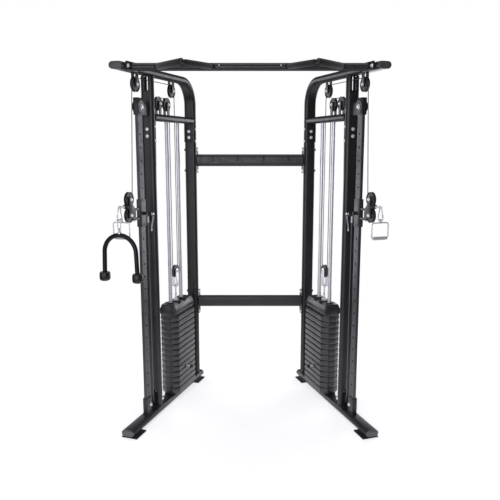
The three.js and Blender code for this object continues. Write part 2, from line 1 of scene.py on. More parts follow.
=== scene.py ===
"""Looks for the functional trainer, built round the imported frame.

Lengths are in millimetres until a piece is placed. A side frame is drawn in its own axes
(x forward, y inward, z up, origin on the floor under its front upright) and then turned to its
splay angle, and mirrored for the right-hand side. The machine's front faces -Y.
"""

import math

import bmesh
import bpy
from mathutils import Matrix, Vector


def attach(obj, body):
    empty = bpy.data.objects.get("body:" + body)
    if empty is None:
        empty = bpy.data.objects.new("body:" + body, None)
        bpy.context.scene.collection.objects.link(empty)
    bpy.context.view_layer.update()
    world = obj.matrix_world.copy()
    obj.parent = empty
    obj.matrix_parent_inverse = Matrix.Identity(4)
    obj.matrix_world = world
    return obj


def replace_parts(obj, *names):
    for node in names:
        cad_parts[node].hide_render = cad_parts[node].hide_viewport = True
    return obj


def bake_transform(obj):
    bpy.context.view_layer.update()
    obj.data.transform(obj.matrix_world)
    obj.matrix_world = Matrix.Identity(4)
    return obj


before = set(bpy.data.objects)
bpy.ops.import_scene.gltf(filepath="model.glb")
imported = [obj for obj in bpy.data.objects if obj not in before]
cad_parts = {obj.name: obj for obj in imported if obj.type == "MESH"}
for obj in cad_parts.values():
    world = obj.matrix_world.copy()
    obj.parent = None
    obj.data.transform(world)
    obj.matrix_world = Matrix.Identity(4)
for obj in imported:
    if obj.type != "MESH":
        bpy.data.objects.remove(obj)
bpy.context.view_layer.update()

# ---- the machine's dimensions ----
SPLAY = math.radians(19)
FRONT_UPRIGHT_X = 591
SPACING = 580  # front upright to rear upright
ORIGIN_SHIFT = (37, -94, 0)  # brings the origin under the middle of the machine
GAP = 0.3  # between pieces that meet
THROUGH, TALL = 9, 3000  # how far a cutter runs past its piece; a cutter's full length
WIDE, THIN, WALL = 80, 40, 3  # the oval tube
ARCH_TOP, ARCH_FRONT, BEND = 2100, 345, 150
RAIL_REAR, RAIL_FRONT, RAIL_TOP = -660, 360, 46
CAP_DEPTH = 9  # of the moulded caps in the tubes' ends
BRACE_LOW, BRACE_HIGH = 1810, 1850
BRACE_BOLTS, EDGE_BOLTS = (1760, 1720), (1775, 1695)  # heights
UPPER_TUBE_Z, LOWER_TUBE_Z = 1568, 584
BAR_Y, BAR_RADIUS = -232, 21
FLANGE_THICK = 6
GUIDE_X, GUIDE_DEEP, GUIDE_WIDE, GUIDE_WALL = 115, 50, 18, 2.5
GUIDE_LOW, GUIDE_HIGH = 52, 1925
CAP_LOW, CAP_HIGH = 1836, 1930  # the cap that holds the guide tube's top
DISC_X, DISC_Z = GUIDE_X - 3, 1880
HOLE_FIRST, HOLE_PITCH, HOLE_COUNT, HOLE_RADIUS = 230, 75, 21, 6.5
CARRIAGE_Z = 1280
SLEEVE = (85.5, 144.5, 15.5, 1203, 1362)  # x from, x to, half width, z from, z to
SOCKET_TOP = 150
SWIVEL_X = 200
AXLE_RADIUS = 5
PULLEY_RADIUS, PULLEY_PITCH = 42, 36  # the rim, and the cable's centre line
CHEEK_IN, CHEEK_OUT = 11, 15
STACK_X, STACK_FRONT, STACK_REAR, PLATE_HALF_WIDE = -305, -177, -463, 65
PLATES, LIFTED, PLATE_PITCH, STACK_TOP = 14, 10, 37.7, 577
HEAD_HIGH = 79.5
STACK_BOTTOM = STACK_TOP - PLATES * PLATE_PITCH
HOLE_DROP = 0.76 * PLATE_PITCH  # from a plate's top to its pin hole
ROD_OFFSET, ROD_RADIUS, STEM_RADIUS = 77, 12.5, 11
CABLE_RADIUS = 2.5
TWIST_LENGTH = 140  # of cable above the carriage, drawn as a run of its own up to the pulley block
STOP_X, STOP_Z, STOP_RADIUS = 293, 1335, 13
HOOK_X, CLIP_BOTTOM = 354, 1266
ANCHOR = (36, 1215)
LOWER_AXLE = (254, 1283)
# each pulley's axle (x, z) and which way the cable bends round it, in the cable's order
WHEELS = {
    "base_pulley": (0, 100, -1),
    "brace_pulley_front": (-125, 1913, 1),
    "brace_pulley_rear": (-233, 1913, 1),
    "floating_pulley": (STACK_X, 854, -1),
    "top_rear_pulley": (STACK_X, 2000, -1),
    "top_front_pulley": (141, 2000, -1),
    "carriage_pulley_upper": (250, 1371, 1),
}


# ---- materials ----
class Look:
    """One procedural material, built up from a Principled shader."""

    def __init__(self, name, roughness, metallic=0.0, coat=0.0, specular=0.5, sheen=0.0):
        self.material = bpy.data.materials.new(name)
        self.material.use_nodes = True
        self.nodes = self.material.node_tree.nodes
        self.links = self.material.node_tree.links
        self.shader = self.nodes["Principled BSDF"]
        self.shader.inputs["Metallic"].default_value = metallic
        self.shader.inputs["Coat Weight"].default_value = coat
        self.shader.inputs["Coat Roughness"].default_value = 0.12
        self.shader.inputs["Specular IOR Level"].default_value = specular
        self.shader.inputs["Sheen Weight"].default_value = sheen
        self.coordinates = self.nodes.new("ShaderNodeTexCoord").outputs["Object"]
        self.normal = None
        self.spread(roughness, 40)

    def mapped(self, turn=(0, 0, 0)):
        node = self.nodes.new("ShaderNodeMapping")
        node.inputs["Rotation"].default_value = turn
        self.links.new(self.coordinates, node.inputs["Vector"])
        return node.outputs["Vector"]

    def noise(self, scale, detail=3):
        node = self.nodes.new("ShaderNodeTexNoise")
        node.inputs["Scale"].default_value = scale
        node.inputs["Detail"].default_value = detail
        self.links.new(self.mapped(), node.inputs["Vector"])
        return node.outputs["Fac"]

    def colours(self, dark, light, scale):
        ramp = self.nodes.new("ShaderNodeValToRGB")
        for stop, spot, tone in zip(ramp.color_ramp.elements, (0.35, 0.65), (dark, light)):
            stop.position, stop.color = spot, (*tone, 1)
        self.links.new(self.noise(scale, 4), ramp.inputs["Fac"])
        self.links.new(ramp.outputs["Color"], self.shader.inputs["Base Color"])
        return self

    def spread(self, roughness, scale):
        span = self.nodes.new("ShaderNodeMapRange")
        span.inputs["From Min"].default_value, span.inputs["From Max"].default_value = 0.3, 0.7
        span.inputs["To Min"].default_value, span.inputs["To Max"].default_value = roughness
        self.links.new(self.noise(scale), span.inputs["Value"])
        self.links.new(span.outputs["Result"], self.shader.inputs["Roughness"])

    def bump(self, height, depth, strength):
        """Relief of the given depth in millimetres, on top of any relief there is."""
        node = self.nodes.new("ShaderNodeBump")
        node.inputs["Strength"].default_value = strength
        node.inputs["Distance"].default_value = depth * 0.001
        self.links.new(height, node.inputs["Height"])
        if self.normal:
            self.links.new(self.normal, node.inputs["Normal"])
        self.normal = node.outputs["Normal"]
        self.links.new(self.normal, self.shader.inputs["Normal"])
        return self

    def grain(self, scale, depth, strength):
        return self.bump(self.noise(scale), depth, strength)

    def ridges(self, scale, depth, turn, strength):
        node = self.nodes.new("ShaderNodeTexWave")
        node.inputs["Scale"].default_value = scale
        self.links.new(self.mapped(turn), node.inputs["Vector"])
        return self.bump(node.outputs["Fac"], depth, strength)


def grey(value, blue=1.06):
    return (value, value, value * blue)


def ink(value):
    """A dark grey with the faint violet cast of the frame's paint."""
    return (value, value * 0.93, value * 1.14)


POWDER = Look("frame_powder_coat", (0.3, 0.42), specular=0.5)
POWDER.colours(ink(0.014), ink(0.02), 9).grain(1500, 0.25, 0.5).grain(90, 0.12, 0.3)
GUIDE_PAINT = Look("guide_tube_satin_coat", (0.3, 0.42), specular=0.6)
GUIDE_PAINT.colours(ink(0.03), ink(0.04), 12).grain(1300, 0.2, 0.4)
BRACKET_PAINT = Look("bracket_grey_coat", (0.34, 0.46), metallic=0.3)
BRACKET_PAINT.colours(grey(0.05), grey(0.07), 20).grain(1300, 0.2, 0.4)
PLATE_PAINT = Look("weight_plate_hammered_coat", (0.28, 0.38), specular=0.6)
PLATE_PAINT.colours(ink(0.02), ink(0.032), 30).grain(260, 0.5, 0.5).grain(1100, 0.15, 0.5)
CHROME = Look("polished_chrome", (0.28, 0.34), metallic=0.55)
CHROME.colours(grey(0.7, 1.06), grey(0.76, 1.06), 25)
ZINC = Look("bright_zinc", (0.34, 0.46), metallic=0.45)
ZINC.colours(grey(0.86, 1.02), grey(0.94, 1.02), 60).grain(1500, 0.08, 0.4)
NYLON = Look("black_nylon", (0.3, 0.42), specular=0.5)
NYLON.colours(grey(0.008), grey(0.013), 50).grain(1800, 0.12, 0.4)
RUBBER = Look("black_rubber", (0.55, 0.72), specular=0.35)
RUBBER.colours(grey(0.011), grey(0.019), 40).grain(1100, 0.3, 0.6).grain(180, 0.15, 0.4)
CAP = Look("moulded_grey_cap", (0.3, 0.42), specular=0.55)
CAP.colours(grey(0.07), grey(0.09), 25).grain(1500, 0.15, 0.4)
FOAM = Look("grip_foam", (0.7, 0.88), specular=0.3, sheen=0.25)
FOAM.colours(grey(0.016), grey(0.026), 160).grain(900, 0.5, 0.8).grain(250, 0.25, 0.4)
SATIN = Look("handle_satin_black", (0.2, 0.28), specular=0.22)
SATIN.colours(grey(0.007), grey(0.012), 14).grain(1200, 0.08, 0.3)
BLACK_STEEL = Look("black_oxide_steel", (0.35, 0.5), metallic=0.6)
BLACK_STEEL.colours(grey(0.025), grey(0.04), 70).grain(1400, 0.1, 0.4)
CABLE = Look("coated_wire_rope", (0.3, 0.42), coat=0.3)
CABLE.colours(grey(0.1, 1.03), grey(0.15, 1.03), 300).ridges(260, 0.5, (0.6, 0.6, 0.0), 0.7)
GRIP = Look("knurled_aluminium", (0.36, 0.5), metallic=0.45)
GRIP.colours(grey(0.62, 1.03), grey(0.74, 1.03), 80)
GRIP.ridges(330, 0.4, (0.78, 0, 0.78), 0.8).ridges(330, 0.4, (-0.78, 0, -0.78), 0.8)


# ---- shapes: each is (points, faces) ----
def box(x0, x1, y0, y1, z0, z1):
    points = [(x, y, z) for x in (x0, x1) for y in (y0, y1) for z in (z0, z1)]
    faces = [(0, 1, 3, 2), (4, 6, 7, 5), (0, 4, 5, 1), (2, 3, 7, 6), (0, 2, 6, 4), (1, 5, 7, 3)]
    return points, faces


def loft(rings, closed=False, caps=True):
    """A skin over rings of equally many points, which may close into a loop."""
    size, count = len(rings[0]), len(rings)
    points = [point for ring in rings for point in ring]
    faces = []
    for i in range(count if closed else count - 1):
        a, b = i * size, (i + 1) % count * size
        faces += [(a + k, a + (k + 1) % size, b + (k + 1) % size, b + k) for k in range(size)]
    if caps and not closed:
        faces += [tuple(range(size)), tuple(range((count - 1) * size, count * size))]
    return points, faces


def sweep(section, path, across=(0, 1, 0), closed=False):
    """A section of (across, outward) points carried along a path that lies square to across."""
    path, across = [Vector(p) for p in path], Vector(across)
    count, rings = len(path), []
    for i, point in enumerate(path):
        before = (point - path[i - 1]).normalized() if closed or i else None
        after = (path[(i + 1) % count] - point).normalized() if closed or i < count - 1 else None
        before, after = before or after, after or before
        along = (before + after).normalized()
        out = along.cross(across).normalized()
        side, stretch = out.cross(along), 1 / max(0.3, along.dot(after))
        rings.append([point + side * a + out * (b * stretch) for a, b in section])
    return loft(rings, closed)


def lathe(profile, centre, axis=(0, 1, 0), sides=32, ring=False):
    """A profile of (radius, distance) points spun about an axis through centre."""
    centre, axis = Vector(centre), Vector(axis).normalized()
    one = axis.orthogonal().normalized()
    two = axis.cross(one)
    turns = [2 * math.pi * k / sides for k in range(sides)]
    rings = [
        [centre + axis * far + (one * math.cos(t) + two * math.sin(t)) * radius for t in turns]
        for radius, far in profile
    ]
    return loft(rings, ring, caps=False)


def rod(start, end, radius, sides=24, edge=0.8):
    start, end = Vector(start), Vector(end)
    length = (end - start).length
    profile = [(0, 0), (radius - edge, 0), (radius, edge)]
    profile += [(radius, length - edge), (radius - edge, length), (0, length)]
    return lathe(profile, start, end - start, sides)


def prism(outline, low, high, axis="z"):
    """An outline in the two other axes, drawn out along the given one."""
    k = "xyz".index(axis)
    return loft([[(*p[:k], height, *p[k:]) for p in outline] for height in (low, high)])


def ball(centre, radius, axis=(1, 0, 0), sides=28, rings=14):
    turns = [math.pi * k / rings for k in range(rings + 1)]
    profile = [(radius * math.sin(t), -radius * math.cos(t)) for t in turns]
    return lathe(profile, centre, axis, sides)


def arc(x, z, radius, start, end, steps):
    """Points round a centre, between two angles in degrees."""
    turns = [math.radians(start + (end - start) * i / steps) for i in range(steps + 1)]
    return [(x + radius * math.cos(t), z + radius * math.sin(t)) for t in turns]


def circle(radius, sides):
    return arc(0, 0, radius, 0, 360 - 360 / sides, sides - 1)


def oval(wide, thin, steps=12):
    flat, radius = (wide - thin) / 2, thin / 2
    right = [(flat + a, b) for a, b in arc(0, 0, radius, -90, 90, steps)]
    return right + [(a - flat, b) for a, b in arc(0, 0, radius, 90, 270, steps)]


def rounded(outline, radius, steps=5):
    """The outline with each corner eased over the given length."""
    points, count = [], len(outline)
    for i, corner in enumerate(outline):
        corner = Vector(corner)
        before = Vector(outline[i - 1]) - corner
        after = Vector(outline[(i + 1) % count]) - corner
        reach = min(radius, 0.48 * before.length, 0.48 * after.length)
        start, end = corner + before.normalized() * reach, corner + after.normalized() * reach
        for k in range(steps + 1):
            t = k / steps
            spot = start * (1 - t) ** 2 + corner * (2 * t * (1 - t)) + end * t**2
            points.append((spot.x, spot.y))
    return points


def rectangle(x0, x1, y0, y1):
    return [(x0, y0), (x1, y0), (x1, y1), (x0, y1)]


def merged(*shapes):
    points, faces = [], []
    for more_points, more_faces in shapes:
        faces += [tuple(k + len(points) for k in face) for face in more_faces]
        points += list(more_points)
    return points, faces


def lifted(shape, z):
    return [Vector(p) + Vector((0, 0, z)) for p in shape[0]], shape[1]


def to_bmesh(shape, bevel=0.0, steps=2, limit=0.6):
    """The shape as a mesh, its edges sharper than limit rounded off."""
    points, faces = shape
    made = bmesh.new()
    corners = [made.verts.new(p) for p in points]
    for face in faces:
        made.faces.new([corners[k] for k in face])
    bmesh.ops.remove_doubles(made, verts=made.verts, dist=1e-3)
    bmesh.ops.recalc_face_normals(made, faces=made.faces)
    if bevel:
        sharp = [
            e for e in made.edges if len(e.link_faces) == 2 and e.calc_face_angle(0) > limit
        ]
        bmesh.ops.bevel(
            made, geom=sharp, offset=bevel, segments=steps, profile=0.5, affect="EDGES",
            clamp_overlap=True,
        )
    return made


def linked(name, data):
    made = bpy.data.objects.new(name, data)
    bpy.context.scene.collection.objects.link(made)
    return made


def scratch_object(shape):
    mesh = bpy.data.meshes.new("scratch")
    made = to_bmesh(shape)
    made.to_mesh(mesh)
    made.free()
    return linked("scratch", mesh)


def carved(shape, *tools):
    """The shape with the tools cut out of it."""
    base, cutter = scratch_object(shape), scratch_object(merged(*tools))
    cut = base.modifiers.new("cut", "BOOLEAN")
    cut.object, cut.operation, cut.solver = cutter, "DIFFERENCE", "EXACT"
    result = base.evaluated_get(bpy.context.evaluated_depsgraph_get()).to_mesh()
    points = [v.co.copy() for v in result.vertices]
    faces = [tuple(p.vertices) for p in result.polygons]
    for holder in (base, cutter):
        mesh = holder.data
        bpy.data.objects.remove(holder)
        bpy.data.meshes.remove(mesh)
    return points, faces


# ---- pieces ----
MACHINE = Matrix.Diagonal((0.001, 0.001, 0.001, 1)) @ Matrix.Translation(ORIGIN_SHIFT)
SPLAYED = Matrix.Rotation(-math.pi / 2 - SPLAY, 4, "Z")
AT_SIDE = Matrix.Translation((-FRONT_UPRIGHT_X, 0, 0)) @ SPLAYED
LEFT, RIGHT = MACHINE @ AT_SIDE, MACHINE @ Matrix.Diagonal((-1, 1, 1, 1)) @ AT_SIDE
SMOOTH_ANGLE = math.radians(34)


class Piece:
    """One object in the making, in the axes that place takes to the frame's."""

    def __init__(self, name, place=MACHINE):
        self.name, self.place = name, place
        self.made, self.looks = bmesh.new(), []

    def add(self, shape, look, bevel=0.0, steps=2, limit=0.6):
        if look not in self.looks:
            self.looks.append(look)
        part = to_bmesh(shape, bevel, steps, limit)
        for face in part.faces:
            face.material_index = self.looks.index(look)
        carrier = bpy.data.meshes.new("carrier")
        part.to_mesh(carrier)
        part.free()
        self.made.from_mesh(carrier)
        bpy.data.meshes.remove(carrier)
        return self

    def place_it(self):
        bmesh.ops.transform(self.made, matrix=self.place, verts=self.made.verts)
        if self.place.determinant() < 0:
            bmesh.ops.reverse_faces(self.made, faces=self.made.faces)
        for face in self.made.faces:
            face.smooth = True
        for edge in self.made.edges:
            if len(edge.link_faces) == 2:
                edge.smooth = edge.calc_face_angle(0) < SMOOTH_ANGLE
        mesh = bpy.data.meshes.new(self.name)
        self.made.to_mesh(mesh)
        self.made.free()
        for look in self.looks:
            mesh.materials.append(look.material)
        return linked(self.name, mesh)

    def ride(self, body, slot, *nodes):
        """Place it on a body, in place of the CAD nodes named."""
        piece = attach(self.place_it(), body)
        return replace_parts(piece, *nodes) if nodes else piece

    def blend(self, one, other, start, end, slot):
        """Place it, with its placement baked into its points."""
        piece = self.place_it()
        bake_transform(piece)
        return piece


WELD_BEAD = circle(2.6, 8)
BORE = oval(WIDE - 2 * WALL, THIN - 2 * WALL)  # of the oval tube


def hex_bolt(piece, centre, axis, look=ZINC, radius=9, washer=12.5):
    """A hexagon head on a round washer, standing out along axis."""
    height = radius * 0.72
    head = [(0, 1.6), (radius, 1.6), (radius, 1.6 + height * 0.8), (radius * 0.84, 1.6 + height)]
    head += [(radius * 0.5, 1.6 + height), (radius * 0.44, 1.0 + height), (0, 1.0 + height)]
    disc = [(0, -0.5), (washer, -0.5), (washer, 1.1), (washer - 0.6, 1.7), (0, 1.7)]
    piece.add(lathe(disc, centre, axis, 28), look).add(lathe(head, centre, axis, 6), look)


def dome_bolt(piece, centre, axis, look=ZINC, radius=8):
    """A round button head with a socket in it."""
    r = radius
    profile = [(0, -0.5), (r, -0.5), (r, 1.2), (r * 0.95, 2.0), (r * 0.85, 2.6), (r * 0.5, 3.0)]
    profile += [(r * 0.38, 3.0), (r * 0.34, 1.8), (0, 1.8)]
    piece.add(lathe(profile, centre, axis, 24), look)


def side_bolts(piece, x):
    """The brace bolts on both edges of an upright: bright inside, black outside."""
    for z in EDGE_BOLTS:
        hex_bolt(piece, (x, 39.4, z), (0, 1, 0), ZINC, 7, 8.5)
        dome_bolt(piece, (x, -39.4, z), (0, -1, 0), BLACK_STEEL, 6)


def weld(piece, outline, z):
    """A bead that runs round an outline in x and y."""
    path = [(x, y, z) for x, y in outline]
    piece.add(sweep(WELD_BEAD, path, across=(0, 0, 1), closed=True), POWDER)


def wire_loop(piece, path, radius, sides=12, across=(0, 1, 0)):
    """A closed ring of chromed wire along a path that lies square to across."""
    piece.add(sweep(circle(radius, sides), path, across, closed=True), CHROME)


def axle(piece, x, z):
    piece.add(rod((x, -CHEEK_OUT, z), (x, CHEEK_OUT, z), AXLE_RADIUS), ZINC)


def pulley_bracket(piece, name, low, high, half=15, look=BRACKET_PAINT, rounding=14):
    """Two plates, an axle and its bolt heads."""
    x, z = WHEELS[name][:2]
    corners = rounded(rectangle(x - half, x + half, low, high), rounding)
    for side in (1, -1):
        edges = sorted((side * CHEEK_IN, side * CHEEK_OUT))
        piece.add(prism(corners, *edges, "y"), look, 0.7)
        hex_bolt(piece, (x, side * CHEEK_OUT, z), (0, side, 0), radius=7.5, washer=9.5)
    axle(piece, x, z)


def base_flange(piece, x):
    low = RAIL_TOP + GAP
    high = low + FLANGE_THICK
    plan = rounded(rectangle(x - 50, x + 50, -41, 41), 8)
    piece.add(prism(plan, low, high), POWDER, 1.2)
    weld(piece, [(x + b, a) for a, b in oval(WIDE + 2, THIN + 2)], high + GAP)
    for dx in (-38, 38):
        for y in (-27, 27):
            hex_bolt(piece, (x + dx, y, high), (0, 0, 1), BLACK_STEEL, 7, 9.5)


def end_cap(piece, end, way, height):
    """The moulded cap in the end of an oval tube, its rounded face turned the given way."""
    rings = []
    for inset, far in ((0.4, 0), (0.4, 0.45), (1.6, 0.75), (4, 0.93), (8, 1)):
        section = oval(WIDE - 2 * inset, THIN - 2 * inset)
        x = end + way * (far - 1) * CAP_DEPTH
        rings.append([(x, a, height + b) for a, b in section])
    piece.add(loft(rings), CAP)


def guide_pocket(low, high):
    """What the guide tube takes out of the pieces that hold it."""
    deep, wide = GUIDE_DEEP / 2 + GAP, GUIDE_WIDE / 2 + GAP
    return box(GUIDE_X - deep, GUIDE_X + deep, -wide, wide, low, high)


def base_rail(side, place):
    piece = Piece(side + "_base_rail_steelwork", place)
    middle = (6 + RAIL_TOP) / 2
    ends = (RAIL_REAR + CAP_DEPTH, RAIL_FRONT - CAP_DEPTH)
    piece.add(sweep(oval(WIDE, THIN), [(x, 0, middle) for x in ends]), POWDER, 0.6)
    end_cap(piece, RAIL_FRONT, 1, middle)
    end_cap(piece, RAIL_REAR, -1, middle)
    for front in (RAIL_FRONT, RAIL_REAR + 150):
        plan = rounded(rectangle(front - 114, front, -40, 62), 5)
        piece.add(prism(plan, 0, 7), POWDER, 1.4)
        for y in (-31, 31):
            bead = [(front - 110, y, 8), (front - 8, y, 8)]
            piece.add(sweep(WELD_BEAD, bead), POWDER)
    x0, x1, half = SLEEVE[:3]
    socket = carved(
        prism(rounded(rectangle(x0, x1, -half, half), 4), RAIL_TOP - 3, SOCKET_TOP),
        guide_pocket(GUIDE_LOW, SOCKET_TOP + THROUGH),
    )
    piece.add(socket, POWDER, 0.9)
    weld(piece, rounded(rectangle(x0 - 1, x1 + 1, -half - 1, half + 1), 4), RAIL_TOP + 0.5)
    gusset = rounded([(87, 44), (54, 44), (54, 58), (87, SOCKET_TOP - 4)], 3)
    piece.add(prism(gusset, -7, 7, "y"), POWDER, 1)
    for way in (-1, 1):
        hex_bolt(piece, (GUIDE_X - 12, way * half, 98), (0, way, 0), radius=8, washer=10.5)
    bed = box(STACK_REAR + 6, STACK_FRONT - 6, -38, 38, RAIL_TOP - 8, STACK_BOTTOM - GAP)
    piece.add(bed, RUBBER, 1)
    piece.ride("frame", "frame_paint", side + "_base_rail")


def front_upright(side, place):
    piece = Piece(side + "_front_upright_steelwork", place)
    low, high = RAIL_TOP + GAP, ARCH_TOP - THIN - GAP
    column = carved(
        sweep(oval(WIDE, THIN), [(0, 0, low), (0, 0, high)]),
        sweep(BORE, [(0, 0, low - THROUGH), (0, 0, high + THROUGH)]),
    )
    slots = [  # for the base pulley, and for the cable between the two top pulleys
        prism(rounded(rectangle(-13, 13, z0, z1), 13, 6), -60, 60, "x")
        for z0, z1 in ((52, 158), (1973, 2090))
    ]
    piece.add(carved(column, *slots), POWDER)
    base_flange(piece, 0)
    x, z = WHEELS["base_pulley"][:2]
    for way in (-1, 1):
        hex_bolt(piece, (x, way * 39.4, z), (0, way, 0), radius=9, washer=0.5)
    piece.add(rod((x, -39, z), (x, 39, z), AXLE_RADIUS), ZINC)
    for z in BRACE_BOLTS:
        dome_bolt(piece, (THIN / 2, 0, z), (1, 0, 0), radius=10.5)
    side_bolts(piece, -6)
    x0, x1, half = SLEEVE[:3]
    spacer = prism(rounded(rectangle(17, x0 + 2, -15, 15), 2), CAP_LOW, 1908)
    piece.add(spacer, POWDER, 1)
    cap = carved(
        prism(rounded(rectangle(x0, x1, -half, half), 4), CAP_LOW, CAP_HIGH),
        guide_pocket(1800, GUIDE_HIGH),
    )
    piece.add(cap, POWDER, 1.2)
    for way in (1, -1):
        disc = [(0, 15), (37, 15), (37, 18.6), (35.5, 20), (0, 20)]
        piece.add(lathe(disc, (DISC_X, 0, DISC_Z), (0, way, 0), 48), POWDER)
        hex_bolt(piece, (DISC_X, way * 19.8, DISC_Z), (0, way, 0), radius=10, washer=14)
    piece.ride("frame", "frame_paint", side + "_front_upright")


def rear_arch(side, place):
    piece = Piece(side + "_rear_arch_steelwork", place)
    centre = ARCH_TOP - THIN / 2
    bend = arc(BEND - SPACING, centre - BEND, BEND, 180, 90, 28)
    path = [(-SPACING, 0, RAIL_TOP + GAP)] + [(x, 0, z) for x, z in bend]
    path += [(ARCH_FRONT - CAP_DEPTH, 0, centre)]
    piece.add(sweep(oval(WIDE, THIN), path), POWDER)
    end_cap(piece, ARCH_FRONT, 1, centre)
    base_flange(piece, -SPACING)
    for wheel in ("top_rear_pulley", "top_front_pulley"):
        pulley_bracket(piece, wheel, 1986, ARCH_TOP - THIN + 6)
    for z in (UPPER_TUBE_Z, LOWER_TUBE_Z):
        for dz in (-70, 70):
            hex_bolt(piece, (-SPACING, -39, z + dz), (0, -1, 0), BLACK_STEEL, 8, 11)
            hex_bolt(piece, (-SPACING, 46.3, z + dz), (0, 1, 0), ZINC, 7.5, 10)
    side_bolts(piece, 6 - SPACING)
    piece.ride("frame", "frame_paint", side + "_rear_arch")


def mid_brace(side, place):
    piece = Piece(side + "_mid_brace_steelwork", place)
    front, rear = -THIN / 2 - GAP, -SPACING + THIN / 2 + GAP
    middle = (BRACE_LOW + BRACE_HIGH) / 2
    slot_low, slot_high = BRACE_LOW - THROUGH, BRACE_HIGH + THROUGH
    slots = [  # where the cable's three runs pass through the tube
        prism(rounded(rectangle(x - 11, x + 11, -8, 8), 8), slot_low, slot_high)
        for x in (
            WHEELS["brace_pulley_front"][0] + PULLEY_PITCH,
            WHEELS["brace_pulley_rear"][0] - PULLEY_PITCH, STACK_X - PULLEY_PITCH,
        )
    ]
    tube = carved(
        sweep(oval(WIDE, THIN), [(front - 5, 0, middle), (rear + 5, 0, middle)]),
        sweep(BORE, [(front + THROUGH, 0, middle), (rear - THROUGH, 0, middle)]),
    )
    piece.add(carved(tube, *slots), POWDER)
    plate = rounded(rectangle(-34, 34, 1690, BRACE_HIGH), 6)
    for x0, x1 in ((front - FLANGE_THICK, front), (rear, rear + FLANGE_THICK)):
        piece.add(prism(plate, x0, x1, "x"), POWDER, 1.2)
    for z in BRACE_BOLTS:
        dome_bolt(piece, (rear + FLANGE_THICK, 0, z), (1, 0, 0), radius=10.5)
        hex_bolt(piece, (front - FLANGE_THICK, 0, z), (-1, 0, 0), radius=8)
    for name in ("brace_pulley_front", "brace_pulley_rear"):
        pulley_bracket(piece, name, BRACE_HIGH - 3, 1929)
    piece.ride("frame", "frame_paint", side + "_mid_brace")


def guide_tube(side, place):
    piece = Piece(side + "_guide_tube_drilled", place)
    hx, hy = GUIDE_DEEP / 2, GUIDE_WIDE / 2
    ix, iy = hx - GUIDE_WALL, hy - GUIDE_WALL
    outline = rounded(rectangle(GUIDE_X - hx, GUIDE_X + hx, -hy, hy), 3)
    inner = rounded(rectangle(GUIDE_X - ix, GUIDE_X + ix, -iy, iy), 1)
    tube = carved(prism(outline, GUIDE_LOW + GAP, GUIDE_HIGH - GAP), prism(inner, 0, TALL))
    drill = [(0, 0), (HOLE_RADIUS, 0), (HOLE_RADIUS, 30), (0, 30)]
    holes = [
        lathe(drill, (GUIDE_X, 0, HOLE_FIRST + i * HOLE_PITCH), sides=20)
        for i in range(HOLE_COUNT)
    ]
    piece.add(carved(tube, *holes), GUIDE_PAINT)
    piece.ride("frame", "frame_paint", side + "_guide_tube")


def guide_rods(side, place):
    for way, name in ((1, "front"), (-1, "rear")):
        piece = Piece(f"{side}_guide_rod_{name}_chromed", place)
        x = STACK_X + way * ROD_OFFSET
        piece.add(rod((x, 0, RAIL_TOP + GAP), (x, 0, BRACE_LOW - GAP), ROD_RADIUS, 40), CHROME)
        piece.ride("frame", "chrome", f"{side}_guide_rod_{name}")


def carriage(side, place):
    piece = Piece(side + "_carriage_sleeve", place)
    x0, x1, half, low, high = SLEEVE
    sleeve = carved(
        prism(rounded(rectangle(x0, x1, -half, half), 5), low, high),
        prism(rectangle(x0 + 3.5, x1 - 3.5, -9.8, 9.8), 0, TALL),
    )
    piece.add(sleeve, GUIDE_PAINT, 1.2)
    for z in (low + 12, high - 12):
        screw = [(0, -0.5), (3.2, -0.5), (3.2, 0.7), (2.4, 1.1), (1.2, 1.1), (0, 0.2)]
        piece.add(lathe(screw, (GUIDE_X, half, z), sides=16), BLACK_STEEL)
    for z0, z1 in ((low - 0.5, low + 8), (high - 8, high + 0.5)):
        liner = carved(
            prism(rounded(rectangle(x0 + 1.2, x1 - 1.2, 1.2 - half, half - 1.2), 4), z0, z1),
            prism(rectangle(x0 + 3.8, x1 - 3.8, -9.6, 9.6), 0, TALL),
        )
        piece.add(liner, NYLON)
    collar = [(4.6, half - 1), (11, half - 1), (11, half + 3), (9.5, half + 4.5), (9.5, 37)]
    collar += [(8.5, 38), (4.6, 38)]
    piece.add(lathe(collar, (GUIDE_X, 0, CARRIAGE_Z), sides=32, ring=True), BLACK_STEEL)
    lug = rounded(rectangle(ANCHOR[0] - 9, x0 + 2, -10, 10), 6)
    piece.add(prism(lug, 1255, 1267), POWDER, 1)
    stud = [(0, 0), (4, 0), (5, 2), (5, 40), (0, 40)]
    piece.add(lathe(stud, (ANCHOR[0], 0, ANCHOR[1]), (0, 0, 1), 20), ZINC)
    nut = [(0, 0), (8.5, 0), (8.5, 6.5), (7.4, 7.5), (0, 7.5)]
    piece.add(lathe(nut, (ANCHOR[0], 0, 1267), (0, 0, 1), 6), ZINC)
    for z0, z1 in ((1303, 1315), (1249, 1261)):
        ear = [(x1 - 2, -10), (SWIVEL_X, -10)]
        ear += arc(SWIVEL_X, 0, 10, -80, 80, 12) + [(SWIVEL_X, 10), (x1 - 2, 10)]
        piece.add(prism(ear, z0, z1), POWDER, 0.9)
    piece.add(rod((SWIVEL_X, 0, 1244), (SWIVEL_X, 0, 1320), AXLE_RADIUS), ZINC)
    for z, way in ((1315, 1), (1249, -1)):
        hex_bolt(piece, (SWIVEL_X, 0, z), (0, 0, way), radius=7, washer=8.5)
    piece.ride(side + "_carriage", "frame_paint", side + "_carriage")


